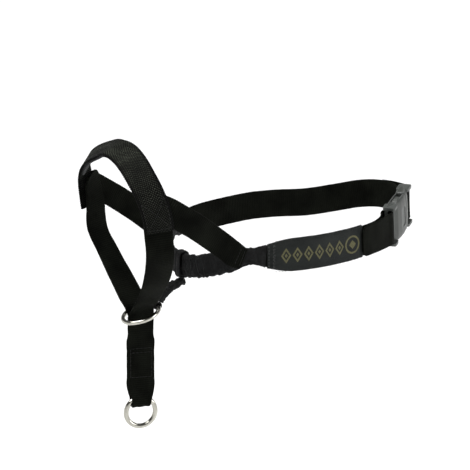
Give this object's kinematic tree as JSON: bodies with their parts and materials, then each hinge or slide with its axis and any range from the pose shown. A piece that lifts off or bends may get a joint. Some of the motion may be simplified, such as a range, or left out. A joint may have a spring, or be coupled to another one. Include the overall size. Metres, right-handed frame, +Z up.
{
  "type": "dog head halter",
  "caption": "Webbing head halter for a large dog: noseband, cheek straps, padded throat strap, neck loop with side-release buckle, chin ring and lead tab.",
  "frame": {"origin": "middle of the nose bridge lining's inner face, where the halter rests on the muzzle", "axes": "-Y where the dog faces, +X to the dog's left, +Z up; X = 0 is the halter's middle"},
  "size_m": [0.1606, 0.2872, 0.2362],
  "materials": {
    "webbing": "plain woven black webbing",
    "ribbed_webbing": "herringbone ribbed grey-black webbing",
    "lining": "soft padded lining",
    "elastic": "woven elastic",
    "sleeve_fabric": "gathered woven sleeve",
    "label": "slate woven sleeve",
    "buckle_plastic": "moulded grey acetal",
    "chrome": "bright plated wire"
  },
  "bodies": {
    "halter": {"nose_bridge_strap": "ribbed_webbing", "nose_bridge_lining": "lining", "side_strap_left": "webbing", "side_strap_right": "webbing", "cheek_strap_left": "webbing", "cheek_strap_right": "webbing", "neck_strap_left": "webbing", "name_sleeve": "label", "neck_strap_right": "webbing", "throat_sleeve": "sleeve_fabric", "throat_elastic": "elastic", "link_throat_loop": "sleeve_fabric", "link_sleeve": "sleeve_fabric", "link_elastic": "elastic", "buckle_socket": "buckle_plastic"},
    "plug": {"buckle_plug": "buckle_plastic", "plug_web_loop": "webbing"},
    "latch_upper": {"latch_arm_upper": "buckle_plastic"},
    "latch_lower": {"latch_arm_lower": "buckle_plastic"},
    "chin_ring": {"slip_ring": "chrome", "link_ring_loop": "sleeve_fabric"},
    "tab": {"lead_tab": "webbing"},
    "lead_loop": {"lead_ring": "chrome"}
  },
  "joints": [
    {"name": "buckle_release", "type": "slide", "parent": "halter", "child": "plug", "axis": [-0.5417, 0.815, 0.2055], "range_m": [0, 0.022]},
    {"name": "latch_upper_press", "type": "hinge", "parent": "plug", "child": "latch_upper", "pos_m": [0.04031, 0.2511, -0.0607], "axis": [0.8328, 0.5536, 0], "range_deg": [0, 8], "stiffness_Nm_per_rad": 1.2, "springref_deg": -2.86},
    {"name": "latch_lower_press", "type": "hinge", "parent": "plug", "child": "latch_lower", "pos_m": [0.03788, 0.25476, -0.08164], "axis": [-0.8328, -0.5536, 0], "range_deg": [0, 8], "stiffness_Nm_per_rad": 1.2, "springref_deg": -2.86},
    {"name": "chin_ring_slide", "type": "slide", "parent": "halter", "child": "chin_ring", "axis": [0, 0, -1], "range_m": [0, 0.012], "stiffness_N_per_m": 60, "springref_m": -0.003},
    {"name": "lead_tab_swing", "type": "hinge", "parent": "halter", "child": "tab", "pos_m": [0, 0.0192, -0.152], "axis": [0.276, 0.9611, 0], "range_deg": [-60, 60]},
    {"name": "lead_ring_swing", "type": "hinge", "parent": "tab", "child": "lead_loop", "pos_m": [0, 0.0182, -0.2036], "axis": [0.276, 0.9611, 0], "range_deg": [-70, 70]}
  ]
}
